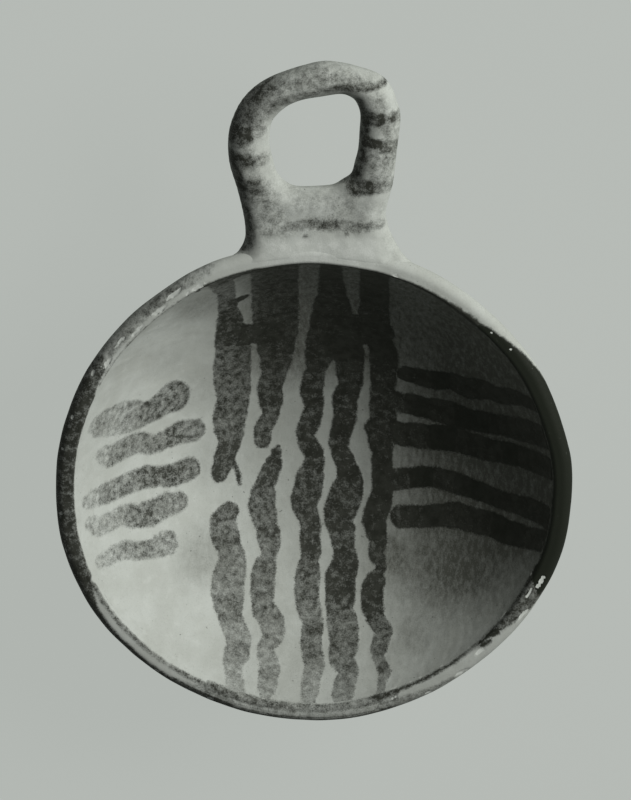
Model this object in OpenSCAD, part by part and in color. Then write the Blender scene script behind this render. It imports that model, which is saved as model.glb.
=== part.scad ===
// Hand-built painted bowl with a finger loop standing out from its rim.
// +Z is the axis of the mouth, the loop points along +Y, and the origin is
// the middle of the flat that the bowl stands on. Millimetres.

/* [Bowl] */
// Diameter over the rim
rim_d = 150; // [140:1:160]
// Depth of the inside, from the top of the rim to the floor
bowl_depth = 45; // [40:1:50]
// Thickness of the floor in the middle
floor_t = 6; // [5:0.5:8]
// Diameter of the flat that the bowl stands on
base_d = 50; // [46:1:58]
// Diameter of the pat of clay that the bowl was started from
pat_d = 44; // [38:1:45]

/* [Rim] */
// Width of the lip
lip_w = 5; // [4.4:0.1:6]
// Height of the coil of clay that finishes the wall
rim_h = 7; // [6:0.5:10]
// Rounding of the lip's outer edge
lip_outer_r = 2.8; // [2:0.1:3]
// Rounding of the lip's inner edge
lip_inner_r = 1.2; // [0.8:0.1:1.4]

/* [Finger hole] */
// Mean diameter of the finger hole
hole_d = 28; // [24:0.5:32]
// Direction in which the hole's pulled corner points
hole_lean = 53; // [40:1:66]
// How much the hole is drawn out along that direction
hole_stretch = 0.09; // [0:0.01:0.12]
// How much the pulled corner stands further out than the opposite one
hole_pull = 0.05; // [0:0.01:0.08]
// How far the hole goes from an oval towards a rounded triangle
hole_corner = 0.035; // [0:0.005:0.05]
// Clay left between the rim and the finger hole
hole_gap = 18; // [16:0.5:22]

/* [Handle] */
// Width of the coil, seen from above
coil_w = 11.8; // [10:0.2:13.6]
// Thickness of the coil from top to bottom
coil_t = 11; // [9.6:0.2:12.4]
// Width of the stem that the two ends of the coil are set on
stem_w = 41.2; // [39:0.4:45]
// Length of the stem outside the rim
stem_len = 10; // [8:0.5:12]
// Thickness of the clay pressed in between the two ends of the coil
web_t = 9.4; // [8:0.2:9.6]
// Radius to which the stem's root is smeared out over the rim
root_r = 10.5; // [8:0.5:12]
// How much thicker the root gets on its underside
root_under = 7.5; // [7:0.5:9]
// How far the top of the handle lies below the top of the rim
handle_drop = 0.6; // [0:0.1:2]

/* [Slip and paint] */
// Thickness of the pale slip that lines the inside
slip_t = 0.4; // [0.3:0.05:0.8]
// Thickness of the dark paint
paint_t = 0.3; // [0.2:0.05:0.5]
// Hair's breadth left between a coat and the surface that it lies on
coat_gap = 0.06; // [0.05:0.01:0.1]

/* [Strokes that run down the middle] */
// Width of a middle stroke
mid_w = 9; // [7:0.2:9.4]
// Distance from one middle stroke to the next
mid_pitch = 11.2; // [11:0.1:12.4]
// Sideways place of the middle one of the five strokes
mid_x = -2.6; // [-4:0.1:-1]
// Bare slip between the rim's edge and a middle stroke on the handle's side
mid_start = 11; // [9:1:20]
// Bare slip between the rim's edge and a middle stroke on the far side
mid_end = 9; // [8:1:19]
// How far the edge swells at each dab of the brush
dab_swell = 0.7; // [0:0.1:0.9]
// Length of one dab of the brush
dab_len = 13; // [10:1:18]
// Place of the bare gap in the two left-hand strokes
gap_y = -13; // [-20:1:-6]
// Length of that bare gap
gap_len = 8; // [4:0.5:14]

/* [Strokes at the sides] */
// Distance from one side stroke to the next
side_pitch = 11; // [10:0.5:12.4]
// Width of a side stroke at its round inner end
side_w = 7; // [5:0.2:8]
// Width of a side stroke where it runs out at the rim
side_tip_w = 4; // [2:0.2:5]
// How far the sides of a side stroke wave in and out
side_wave = 0.2; // [0:0.05:0.4]
// Place of the first stroke on the left
left_y = 15; // [8:1:20]
// Inner end of the strokes on the left
left_in = 36; // [34:1:44]
// Place of the first stroke on the right
right_y = 21.5; // [14:0.5:24]
// Inner end of the strokes on the right
right_in = 27; // [26:0.5:34]
// Bare slip between the rim's edge and the thin end of a side stroke
side_end = 12; // [10:1:18]

/* [Paint on the rim and handle] */
// Direction in which the painted part of the lip starts
rim_paint_from = 118; // [100:1:140]
// Direction in which it ends
rim_paint_to = 320; // [280:1:340]
// Angle above the level at which that paint ends on the lip's outer edge
rim_paint_low = 24; // [15:1:40]
// Direction from the hole's middle in which the stroke over the loop starts
arch_from = 140; // [120:5:160]
// Direction in which it ends
arch_to = 50; // [40:5:80]
// Width of one short band across the coil
leg_band_w = 4; // [3:0.5:5]
// Distance from one short band to the next
leg_band_pitch = 8; // [6.5:0.5:9]
// How far the first band on the left leg lies beyond the hole's middle
left_band_y = 4; // [0:1:6]
// How far the first band on the right leg lies beyond the hole's middle
right_band_y = 7; // [2:1:8]
// Length of the stroke across the stem
stem_band_len = 23; // [16:1:26]
// Width of the stroke across the stem
stem_band_w = 3.4; // [2:0.2:4]

/* [Hidden] */
$fn = 180;
MIDDLE = 5;
BROKEN = 2;
SIDES = 5;
BANDS = 3;
STROKE_STEP = 2.6;
SIDE_STEPS = 14;
SIDE_WAVES = 2.5;
DAB_SHIFT = 0.37;
BAND_ARC = [-10 : 15 : 110];
ARCH_ARC = [70 : 14 : 140];
STEM_STEPS = 16;
STEM_WAVE = 0.3;
WAVE_TURN = 75;
SLIP_EDGE = 1;
PAINT_EDGE = 0.5;

clay = [0.62, 0.55, 0.46];
pale_slip = [0.84, 0.83, 0.78];
dark_paint = [0.2, 0.19, 0.17];

// Both faces of the wall are parts of spheres
height = bowl_depth + floor_t;
rim_r = rim_d / 2;
mouth_r = rim_r - lip_w;
inner_r = (pow(mouth_r, 2) + pow(bowl_depth, 2)) / (2 * bowl_depth);
inner_z = floor_t + inner_r;
widest_z = height - lip_outer_r;
outer_z = (pow(rim_r, 2) + pow(widest_z, 2) - pow(base_d / 2, 2)) / (2 * widest_z);
outer_r = sqrt(pow(base_d / 2, 2) + pow(outer_z, 2));
seam_z = height - rim_h;
slip_out_r = inner_r - coat_gap;
slip_in_r = slip_out_r - slip_t;
paint_out_r = slip_in_r - coat_gap;
slip_top = height - lip_inner_r - SLIP_EDGE;
stroke_top = slip_top - PAINT_EDGE;

// Handle: the hole's middle, the plane it lies in and its main stations
handle_top = height - handle_drop;
handle_z = handle_top - coil_t / 2;
hole_y = rim_r + hole_gap + hole_rad(270);
set_y = rim_r + stem_len;
leg_x = (stem_w - coil_w) / 2;
SECTION = 24;
LEG_STEPS = 5;
WEB_STEPS = 24;
// Directions of the coil's stations round the hole, and how far inside them the web ends
RING_TURNS = [205 : -5 : -25];
WEB_TUCK = 8;

// Radius of the finger hole in direction a
function hole_rad(a) = hole_d / 2 * (1 + hole_stretch * cos(2 * (a - hole_lean))
    + hole_pull * cos(a - hole_lean) + hole_corner * cos(3 * (a - hole_lean)));

// A point at distance d outside the edge of the hole, in direction a
function around_hole(a, d) = [(hole_rad(a) + d) * cos(a), hole_y + (hole_rad(a) + d) * sin(a)];

// A point on a cubic curve with end points p, s and handles q, r
function cubic(p, q, r, s, t) = pow(1 - t, 3) * p + 3 * t * pow(1 - t, 2) * q
    + 3 * t * t * (1 - t) * r + pow(t, 3) * s;

function unit(v) = v / norm(v);

// Centre line of the coil: up the left leg, round the hole and down the right leg
ring_line = [for (a = RING_TURNS) around_hole(a, coil_w / 2)];
function leg_line(foot, top, way) = let (reach = norm(top - foot) / 3)
    [for (i = [0 : LEG_STEPS - 1]) cubic(foot, foot + [0, reach], top - reach * way, top, i / LEG_STEPS)];
left_leg = leg_line([-leg_x, set_y], ring_line[0], unit(ring_line[1] - ring_line[0]));
right_leg = leg_line([leg_x, set_y], ring_line[len(ring_line) - 1],
    unit(ring_line[len(ring_line) - 2] - ring_line[len(ring_line) - 1]));
coil_line = concat(left_leg, ring_line, [for (i = [LEG_STEPS - 1 : -1 : 0]) right_leg[i]]);
coil_last = len(coil_line) - 1;

// Sideways direction of the coil's section at station i, away from the hole
function coil_side(i) = let (way = i == 0 ? [0, 1] : i == coil_last ? [0, -1]
    : unit(coil_line[i + 1] - coil_line[i - 1])) [-way[1], way[0]];

// A point of the coil's skin at station i and angle b, lifted off by d
function coil_skin(i, b, d) = let (s = coil_side(i), out = (coil_w / 2 + d) * cos(b))
    [coil_line[i][0] + s[0] * out, coil_line[i][1] + s[1] * out,
     handle_z + (coil_t / 2 + d) * sin(b)];

// Station of the coil's centre line that lies nearest to height y on one leg
function station_at(y, leg) = let (half = floor(coil_last / 2),
    range = leg == "left" ? [0 : half] : [half : coil_last],
    misses = [for (i = range) abs(coil_line[i][1] - y)],
    best = min(misses))
    [for (i = range) if (abs(coil_line[i][1] - y) == best) i][0];

// Closed solid through a row of rings that all have as many points. A crescent's ends
// are laid across it in strips, so that they don't fold over its hollow side.
module skin(rings, crescent = false) {
    n = len(rings[0]);
    last = len(rings) - 1;
    sides = [for (i = [0 : last - 1], j = [0 : n - 1]) let (k = (j + 1) % n)
        each [[i * n + j, i * n + k, (i + 1) * n + k], [i * n + j, (i + 1) * n + k, (i + 1) * n + j]]];
    end = crescent ? [for (j = [0 : n / 2 - 2]) [j, j + 1, n - 2 - j, n - 1 - j]]
        : [[for (j = [0 : n - 1]) j]];
    near_end = [for (face = end) [for (j = [len(face) - 1 : -1 : 0]) face[j]]];
    far_end = [for (face = end) [for (j = face) last * n + j]];
    polyhedron(points = [for (r = rings) each r], faces = concat(sides, near_end, far_end), convexity = 6);
}

// Half section of the wall between its two spheres
module wall_section() {
    difference() {
        translate([0, outer_z]) circle(outer_r);
        translate([0, inner_z]) circle(inner_r);
    }
}

// Half section that the lip is cut to: two rounded edges with a narrow flat between
module lip_section() {
    out_c = [rim_r - lip_outer_r, height - lip_outer_r];
    in_x = sqrt(pow(inner_r + lip_inner_r, 2) - pow(inner_z - height + lip_inner_r, 2));
    in_c = [in_x, height - lip_inner_r];
    polygon(concat(
        [[mouth_r - lip_w, seam_z], [rim_r + lip_w, seam_z]],
        [[rim_r + lip_w, out_c[1]]],
        [for (a = [0 : 15 : 90]) out_c + lip_outer_r * [cos(a), sin(a)]],
        [for (a = [90 : 15 : 180]) in_c + lip_inner_r * [cos(a), sin(a)]],
        [[mouth_r - lip_w, in_c[1] - lip_inner_r]]));
}

// The bowl's outside as one filled body, against which the handle is fitted
module bowl_outside() {
    rotate_extrude() {
        intersection() {
            translate([0, outer_z]) circle(outer_r);
            union() {
                square([rim_r + lip_w, seam_z]);
                lip_section();
            }
        }
        translate([0, seam_z]) square([mouth_r, rim_h]);
    }
}

module base_pat() {
    color(clay) rotate_extrude() intersection() {
        wall_section();
        square([pat_d / 2, seam_z]);
    }
}

module bowl_wall() {
    color(clay) rotate_extrude() intersection() {
        wall_section();
        translate([pat_d / 2, 0]) square([rim_r, seam_z]);
    }
}

module rim_coil() {
    color(clay) rotate_extrude() intersection() {
        wall_section();
        lip_section();
    }
}

module slip_lining() {
    color(pale_slip) rotate_extrude() intersection() {
        translate([0, inner_z]) difference() {
            circle(slip_out_r);
            circle(slip_in_r);
        }
        square([rim_r, slip_top]);
    }
}

// The stem: a flattened wad whose root is smeared out over the wall in a hollow curve
module handle_root() {
    half = stem_w / 2;
    end_r = coil_t / 2;
    foot_y = sqrt(pow(rim_r, 2) - pow(half + root_r, 2));
    stations = concat([for (a = [0 : 10 : 90]) foot_y + root_r * (1 - cos(a))], [set_y]);
    inside_y = foot_y - root_r - root_under;
    function spread(y) = let (u = max(0, min(1, (foot_y + root_r - y) / root_r))) 1 - sqrt(1 - u * u);
    // The section goes from a slot at the coil to a lens at the wall
    function ring(y) = let (k = spread(y), w = half + root_r * k,
        drop = root_under * k, z = handle_z - drop / 2, t = end_r + drop / 2)
        [for (j = [0 : SECTION - 1]) let (b = 360 * j / SECTION,
            slot = sign(round(1000 * cos(b))) * (w - t) + t * cos(b), lens = w * cos(b))
            [slot + (lens - slot) * k, y, z + t * sin(b)]];
    color(clay) difference() {
        skin([for (y = concat([inside_y], stations)) ring(y)]);
        bowl_outside();
    }
}

module handle_loop() {
    color(clay) skin([for (i = [0 : coil_last])
        [for (j = [0 : SECTION - 1]) coil_skin(i, -360 * j / SECTION, 0)]]);
}

// Clay pressed in between the legs; its upper edge is the round bottom of the finger hole
module handle_web() {
    half = web_t / 2;
    deep = coil_w / 2;
    first = RING_TURNS[0] - WEB_TUCK;
    last = 360 + RING_TURNS[2] + WEB_TUCK;
    function edge(k) = around_hole(first + (last - first) * k / WEB_STEPS,
        k == 0 || k == WEB_STEPS ? deep : 0);
    function foot(k) = [leg_x * (2 * k / WEB_STEPS - 1), set_y];
    function across(k, d, z) = let (way = unit(foot(k) - edge(k)), p = edge(k) + way * d)
        [p[0], p[1], handle_z + z];
    function ring(k) = concat(
        [[foot(k)[0], foot(k)[1], handle_z - half]],
        [for (b = [-90 : 18 : 90]) across(k, half * (1 - cos(b)), half * sin(b))],
        [[foot(k)[0], foot(k)[1], handle_z + half]]);
    color(clay) difference() {
        skin([for (k = [0 : WEB_STEPS]) ring(k)]);
        handle_loop();
    }
}

// A thin shell of paint on the slip, to be cut to the outline of a stroke
module painted() {
    color(dark_paint) intersection() {
        difference() {
            translate([0, 0, inner_z]) sphere(paint_out_r);
            translate([0, 0, inner_z]) sphere(paint_out_r - paint_t);
        }
        linear_extrude(stroke_top) children();
    }
}

// Outline of a stroke along Y from y0 to y1, swelling at each dab, with rounded ends
module dabbed_stroke(x, y0, y1, shift) {
    r = mid_w / 2 - dab_swell / 2;
    way = sign(y1 - y0);
    inner = abs(y1 - y0) - 2 * r;
    n = round(inner / STROKE_STEP);
    round_end = [for (a = [10 : 20 : 90]) r * (1 - cos(a))];
    runs = concat(round_end, [for (i = [1 : n]) r + inner * i / n],
        [for (i = [len(round_end) - 1 : -1 : 0]) inner + 2 * r - round_end[i]]);
    function half(run) = let (near = min(r, run, inner + 2 * r - run))
        sqrt(r * r - pow(r - near, 2))
        + dab_swell * abs(sin(180 * (run - shift) / dab_len)) * near / r;
    last = len(runs) - 1;
    polygon(concat([for (run = runs) [x - half(run), y0 + way * run]],
        [for (i = [last : -1 : 0]) [x + half(runs[i]), y0 + way * runs[i]]]));
}

module middle_stroke(i) {
    x = mid_x + (i - (MIDDLE - 1) / 2) * mid_pitch;
    shift = i * dab_len * DAB_SHIFT;
    top = rim_r - mid_start;
    bottom = mid_end - rim_r;
    painted() {
        if (i < BROKEN) {
            dabbed_stroke(x, top, gap_y + gap_len / 2, shift);
            dabbed_stroke(x, gap_y - gap_len / 2, bottom, shift);
        } else {
            dabbed_stroke(x, top, bottom, shift);
        }
    }
}

// Outline of a stroke along X: a round end inside, wavy sides and a thin end at the rim
module side_outline(y, x_in, way) {
    x_out = sqrt(pow(rim_r - side_end, 2) - y * y);
    n = SIDE_STEPS;
    blunt = side_wave + side_w / 50;
    function half(s) = let (w = side_w + (side_tip_w - side_w) * s, run = s * (x_out - x_in))
        max(blunt, run < w / 2 ? sqrt(run * (w - run)) : w / 2) + side_wave * sin(360 * SIDE_WAVES * s);
    // Rows lie closer together at the round end
    rows = [for (i = [0 : n]) pow(i / n, 1.3)];
    function at(s) = way * (x_in + (x_out - x_in) * s);
    polygon(concat([for (s = rows) [at(s), y - half(s)]],
        [for (i = [n : -1 : 0]) [at(rows[i]), y + half(rows[i])]]));
}

module left_stroke(i) {
    painted() side_outline(left_y - i * side_pitch, left_in, -1);
}

module right_stroke(i) {
    painted() side_outline(right_y - i * side_pitch, right_in, 1);
}

// Paint over the outer edge of the lip, left bare beside the handle
module rim_stroke() {
    out_c = [rim_r - lip_outer_r, height - lip_outer_r];
    color(dark_paint) rotate([0, 0, rim_paint_from])
        rotate_extrude(angle = rim_paint_to - rim_paint_from)
            translate(out_c) intersection() {
                difference() {
                    circle(lip_outer_r + coat_gap + paint_t);
                    circle(lip_outer_r + coat_gap);
                }
                polygon([[0, 0], [0, rim_h], [rim_h, rim_h], [rim_h, rim_h * tan(rim_paint_low)]]);
            }
}

// A patch of paint on the coil between stations i0 and i1, over an arc of the section
module coil_patch(i0, i1, arc) {
    function ring(i) = concat(
        [for (b = arc) coil_skin(i, b, coat_gap + paint_t)],
        [for (b = [arc[2] : -arc[1] : arc[0]]) coil_skin(i, b, coat_gap)]);
    skin([for (i = [i1 : -1 : i0]) ring(i)], crescent = true);
}

module leg_bands(leg, from_y) {
    color(dark_paint) for (k = [0 : BANDS - 1]) {
        y = hole_y + from_y - k * leg_band_pitch;
        ends = [station_at(y + leg_band_w / 2, leg), station_at(y - leg_band_w / 2, leg)];
        low = min(ends);
        high = max(max(ends), low + 1);
        coil_patch(low, high, BAND_ARC);
    }
}

module left_leg_bands() {
    leg_bands("left", left_band_y);
}

module right_leg_bands() {
    leg_bands("right", right_band_y);
}

// The long stroke over the top of the loop
module arch_stroke() {
    function station(a) = LEG_STEPS + round((a - RING_TURNS[0]) / RING_TURNS[1]);
    color(dark_paint) coil_patch(station(arch_from), station(arch_to), ARCH_ARC);
}

module stem_stroke() {
    n = STEM_STEPS;
    x1 = (stem_w - coil_t) / 2 - STEM_WAVE;
    x0 = x1 - stem_band_len;
    y = set_y - stem_len / 2;
    function wave(i) = STEM_WAVE * sin(i * WAVE_TURN);
    color(dark_paint) translate([0, 0, handle_top + coat_gap]) linear_extrude(paint_t)
        polygon(concat(
            [for (i = [0 : n]) [x0 + (x1 - x0) * i / n, y - stem_band_w / 2 + wave(i)]],
            [for (i = [n : -1 : 0]) [x0 + (x1 - x0) * i / n, y + stem_band_w / 2 + wave(i + 2)]]));
}

base_pat();
bowl_wall();
rim_coil();
slip_lining();
handle_root();
handle_web();
handle_loop();
for (i = [0 : MIDDLE - 1])
    middle_stroke(i);
for (i = [0 : SIDES - 1])
    left_stroke(i);
for (i = [0 : SIDES - 1])
    right_stroke(i);
rim_stroke();
arch_stroke();
stem_stroke();
left_leg_bands();
right_leg_bands();
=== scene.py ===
"""Looks of the painted loop-handled bowl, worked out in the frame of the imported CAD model."""

import bpy
import numpy as np
from mathutils import Matrix, Vector


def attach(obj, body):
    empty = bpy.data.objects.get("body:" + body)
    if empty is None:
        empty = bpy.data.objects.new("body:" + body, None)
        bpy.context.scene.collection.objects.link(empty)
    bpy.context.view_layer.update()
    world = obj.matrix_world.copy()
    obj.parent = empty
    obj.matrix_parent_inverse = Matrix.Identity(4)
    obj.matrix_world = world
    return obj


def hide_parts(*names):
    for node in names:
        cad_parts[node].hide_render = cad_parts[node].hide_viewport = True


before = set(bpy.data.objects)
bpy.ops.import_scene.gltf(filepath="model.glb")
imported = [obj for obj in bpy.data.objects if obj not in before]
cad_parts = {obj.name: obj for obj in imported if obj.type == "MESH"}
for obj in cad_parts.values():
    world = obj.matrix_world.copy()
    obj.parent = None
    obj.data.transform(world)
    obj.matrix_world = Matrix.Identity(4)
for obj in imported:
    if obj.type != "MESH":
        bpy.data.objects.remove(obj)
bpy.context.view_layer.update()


# ---- Camera -------------------------------------------------------------------------
# The bowl is looked into from a little below its axis, with the handle up. The long side
# of the picture takes in 234 mm at the rim's level.
TILT = np.radians(23.06)
AIM = np.array([0.6, 23.1, 41.1]) / 1000
DISTANCE = 7.0
VIEW_HEIGHT = 0.2339
SENSOR = 36.0

lens = bpy.data.cameras.new("view_camera")
lens.sensor_fit = "VERTICAL"
lens.sensor_height = SENSOR
lens.lens = SENSOR * DISTANCE / VIEW_HEIGHT
lens.clip_start = 0.05
lens.clip_end = 60
camera = bpy.data.objects.new("view_camera", lens)
toward = np.array([0, np.sin(TILT), np.cos(TILT)])
up = np.array([0, np.cos(TILT), -np.sin(TILT)])
axes = Matrix([(1, up[0], toward[0]), (0, up[1], toward[1]), (0, up[2], toward[2])])
camera.matrix_world = Matrix.Translation(Vector(AIM + DISTANCE * toward)) @ axes.to_4x4()
bpy.context.scene.collection.objects.link(camera)
bpy.context.scene.camera = camera
bpy.context.scene.view_settings.view_transform = "Standard"


# ---- Bowl body: base pat, wall and rim coil -----------------------------------------
# A pat of clay, coils and a last coil for the rim, joined and smoothed by hand to one wall, so that no joint shows.
# Fired clay under a thin wash of pale slip; its lip is chipped and painted, and along the top inner edge and over the
# right lip the dark is partly painted shade.
RIM_R, LIP_TOP = 75.0, 51.0
LIP_OUT_R, LIP_IN_R = 2.8, 1.2
BASE_R, FLOOR_TOP = 25.0, 6.0
IN_R, OUT_R = 76.944, 79.97
IN_Z, OUT_Z = FLOOR_TOP + IN_R, 75.97


def rolling(points, size, seed, waves=36):
    """Gentle hills from about -1 to 1: a sum of sine waves that run in directions drawn
    once from the seed, with crests about `size` mm apart."""
    draw = np.random.default_rng(seed)
    ways = draw.normal(size=(waves, 3))
    ways *= (2 * np.pi / (size * draw.uniform(0.7, 1.5, waves)) / np.linalg.norm(ways, axis=1))[:, None]
    phases = draw.uniform(0, 2 * np.pi, waves)
    return np.sin(np.asarray(points) @ ways.T + phases).sum(-1) * np.sqrt(0.5 / waves)


def smooth(low, high, x):
    """0 below low, 1 above high, and an S-curve between them."""
    t = np.clip((x - low) / (high - low), 0, 1)
    return t * t * (3 - 2 * t)


# Waves of the rim's outline, the longest first: size in mm and how far each is turned
SWAYS = [(0.43, 1.93), (0.07, -1.54), (0.35, 1.03), (0.19, -0.03), (0.22, 0.79), (0.15, 2.95)]


def rim_sway(angle):
    """How far the hand-held rim runs out of round and out of level, in mm: a few slow
    waves round the axis, and one swell at the left of the handle. Returns both."""
    out = 0.53 + sum(size * np.cos((i + 1) * angle + turned) for i, (size, turned) in enumerate(SWAYS))
    out += 0.55 * np.exp(-(((angle - 1.97) % (2 * np.pi) + np.pi) % (2 * np.pi) - np.pi) ** 2 / 0.03)
    level = 0.16 * np.sin(2 * angle + 0.7) + 0.1 * np.sin(5 * angle) + 0.07 * np.sin(9 * angle + 2)
    return out, level


def hand_shaped(points):
    """Moves points of the wall from the true form to the hand-made one: the rim's sway
    grows with the square of the height, and soft finger marks push in or out along the
    line from the middle of the mouth's axis."""
    radius = np.hypot(points[..., 0], points[..., 1])
    angle = np.arctan2(points[..., 1], points[..., 0])
    out, level = rim_sway(angle)
    share = (points[..., 2] / LIP_TOP).clip(0, 1) ** 2 * (radius / RIM_R).clip(0, 1)
    marks = 0.22 * rolling(points, 26, 3) + 0.07 * rolling(points, 8, 4)
    push = out * share + marks * smooth(4, 30, radius) * 0.8
    unit = np.stack([np.cos(angle), np.sin(angle), 0 * angle], -1)
    moved = points + unit * push[..., None]
    moved[..., 2] += level * share
    return moved


def mesh_object(name, points, faces, attributes=()):
    """A mesh from points in mm and lists of faces, with a value per point for each
    attribute. Faces are arrays of three or four point numbers a row."""
    mesh = bpy.data.meshes.new(name)
    mesh.vertices.add(len(points))
    mesh.vertices.foreach_set("co", (points / 1000).astype(np.float32).ravel())
    mesh.loops.add(sum(f.size for f in faces))
    mesh.loops.foreach_set("vertex_index", np.concatenate([f.ravel() for f in faces]).astype(np.int32))
    totals = np.concatenate([np.full(len(f), f.shape[1]) for f in faces]).astype(np.int32)
    mesh.polygons.add(len(totals))
    mesh.polygons.foreach_set("loop_start", np.concatenate([[0], np.cumsum(totals)[:-1]]).astype(np.int32))
    mesh.polygons.foreach_set("loop_total", totals)
    mesh.polygons.foreach_set("use_smooth", np.ones(len(totals), bool))
    mesh.update(calc_edges=True)
    for key, values in dict(attributes).items():
        layer = mesh.attributes.new(key, "FLOAT", "POINT")
        layer.data.foreach_set("value", np.asarray(values, np.float32).ravel())
    mesh.validate()
    obj = bpy.data.objects.new(name, mesh)
    bpy.context.scene.collection.objects.link(obj)
    return obj


def ring_faces(rows, cols, first=0):
    """Quads between rows of a grid whose columns close on themselves."""
    a = first + np.arange(rows - 1)[:, None] * cols + np.arange(cols)[None, :]
    b = first + np.arange(rows - 1)[:, None] * cols + (np.arange(cols)[None, :] + 1) % cols
    return np.stack([a, b, b + cols, a + cols], -1).reshape(-1, 4)


def pole_faces(pole, start, cols, outward):
    """A fan of triangles between a pole and the row of points that begins at start."""
    a = start + np.arange(cols)
    b = start + (np.arange(cols) + 1) % cols
    c = np.full(cols, pole)
    return np.stack([c, a, b] if outward else [c, b, a], -1)


def arc(cx, cz, r, start, end, n):
    """n points of a circle in the (radius, height) plane, angles in degrees."""
    a = np.radians(np.linspace(start, end, n))
    return np.stack([cx + r * np.cos(a), cz + r * np.sin(a)], -1)


def wall_profile():
    """Half section of the wall from the middle of its underside, out over the lip and in
    to the middle of the floor, as points (radius, height)."""
    lip_in_x = np.sqrt((IN_R + LIP_IN_R) ** 2 - (IN_Z - LIP_TOP + LIP_IN_R) ** 2)
    tangent = np.degrees(np.arctan2(IN_Z - LIP_TOP + LIP_IN_R, -lip_in_x))
    start = np.degrees(np.arctan2(-OUT_Z, BASE_R))
    end = np.degrees(np.arctan2(LIP_TOP - LIP_OUT_R - OUT_Z, RIM_R))
    under = np.stack([np.linspace(0.5, BASE_R - 1.2, 12), np.zeros(12)], -1)
    worn_edge = np.array([[BASE_R - 0.5, 0.08], [BASE_R + 0.05, 0.3]])
    outer = arc(0, OUT_Z, OUT_R, start + 0.6, end, 44)
    lip_out = arc(RIM_R - LIP_OUT_R, LIP_TOP - LIP_OUT_R, LIP_OUT_R, 0, 90, 13)[1:]
    lip_in = arc(lip_in_x, LIP_TOP - LIP_IN_R, LIP_IN_R, 90, tangent, 8)
    flat = np.linspace(lip_out[-1], lip_in[0], 6)[1:-1]
    foot = np.degrees(np.arctan2(lip_in[-1][1] - IN_Z, lip_in[-1][0]))
    top = arc(0, IN_Z, IN_R, foot, foot - 7, 14)[1:]
    inner = arc(0, IN_Z, IN_R, foot - 7, -90 + 0.4, 22)[1:]
    return np.concatenate([under, worn_edge, outer, lip_out, flat, lip_in, top, inner])


def soot_and_painted_shade(x, y):
    """How much darker the slip is made over a point of the mouth, partly sooty stains and mostly painted shade: darkest
    over the right side, where the rim's shadow falls, and under the handle, lighter again along the lower right, and in
    a few smudges."""
    dark = 0.95 * smooth(-4, 46, x) * (1 - 0.5 * smooth(-38, -52, y))
    dark = np.maximum(dark, 0.8 * smooth(4, 26, y) * smooth(-30, -12, x))
    dark = np.maximum(dark, 0.65 * smooth(55, 65, y))
    dark = np.maximum(dark, 0.16 * smooth(-34, -18, x))
    for x0, y0, size, amount in [(-31.5, -34, 13, 0.35), (-33, 52, 12, 0.4), (-33, 16, 12, 0.2), (-30, -8, 12, 0.18),
                                 (24, -36, 10, 0.8), (58, -24, 16, 1.0), (30, -54, 9, 0.5), (-44, 30, 9, 0.16)]:
        dark = np.maximum(dark, amount * smooth(size, 0.25 * size, np.hypot(x - x0, y - y0)))
    return dark * (1 - 0.55 * smooth(55, 72, 0.75 * x - 0.66 * y) * smooth(-16, -30, y))


def rubbed(x, y):
    """How far the slip is rubbed off where the handle's root is smeared over the rim."""
    return 0.5 * smooth(84, 76, y) * smooth(64, 69, y) * smooth(25, 14, np.abs(x - 2))


# Chips along the lip: direction in degrees, how far in from the outer edge, then the
# half length, half width and depth in mm
CHIPS = [(118, 4.2, 3.6, 0.8, 0.35), (124, 2.2, 3.2, 0.8, 0.4), (129, 3.6, 2.8, 0.9, 0.4), (136, 3.9, 3.4, 0.7, 0.3),
         (141, 2.4, 2.4, 0.7, 0.35), (147, 3.4, 3.0, 0.9, 0.4), (151, 1.6, 1.4, 0.6, 0.3), (163, 1.4, 0.7, 0.5, 0.25),
         (171, 0.9, 0.9, 0.5, 0.3), (187, 1.1, 0.7, 0.5, 0.3), (196, 0.8, 0.8, 0.4, 0.25), (43, 3.4, 0.7, 0.4, 0.3),
         (37, 2.6, 0.9, 0.4, 0.3), (70, 4.4, 1.3, 0.7, 0.3), (335, 2.6, 4.2, 0.6, 0.35), (331.5, 3.9, 2.6, 0.5, 0.3),
         (326, 1.6, 2.4, 0.7, 0.35), (313, 3.2, 2.0, 0.8, 0.35), (306, 1.2, 2.4, 0.9, 0.4), (297, 0.9, 1.6, 0.7, 0.35),
         (289, 3.8, 1.2, 0.6, 0.3), (246, 0.9, 1.4, 0.6, 0.3), (232, 0.8, 1.2, 0.5, 0.3)]


def chipped(points):
    """How much of each point is broken away, from 0 to 1, and how deep in mm: an oval
    dish for each chip, its outline torn by small hills."""
    angle = np.degrees(np.arctan2(points[..., 1], points[..., 0])) % 360
    radius = np.hypot(points[..., 0], points[..., 1])
    ragged = 0.35 * rolling(points, 1.9, 11) + 0.22 * rolling(points, 0.9, 12)
    bare, depth = np.zeros(angle.shape), np.zeros(angle.shape)
    near_top = smooth(LIP_TOP - 4.5, LIP_TOP - 2.5, points[..., 2])
    for direction, inset, long, wide, deep in CHIPS:
        along = ((angle - direction + 180) % 360 - 180) * np.pi / 180 * RIM_R / long
        across = (radius - (RIM_R - inset)) / wide
        dish = smooth(0, 0.45, 1 - np.hypot(along, across) + ragged) * near_top
        bare = np.maximum(bare, dish)
        depth = np.maximum(depth, dish * deep)
    return bare, depth
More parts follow.
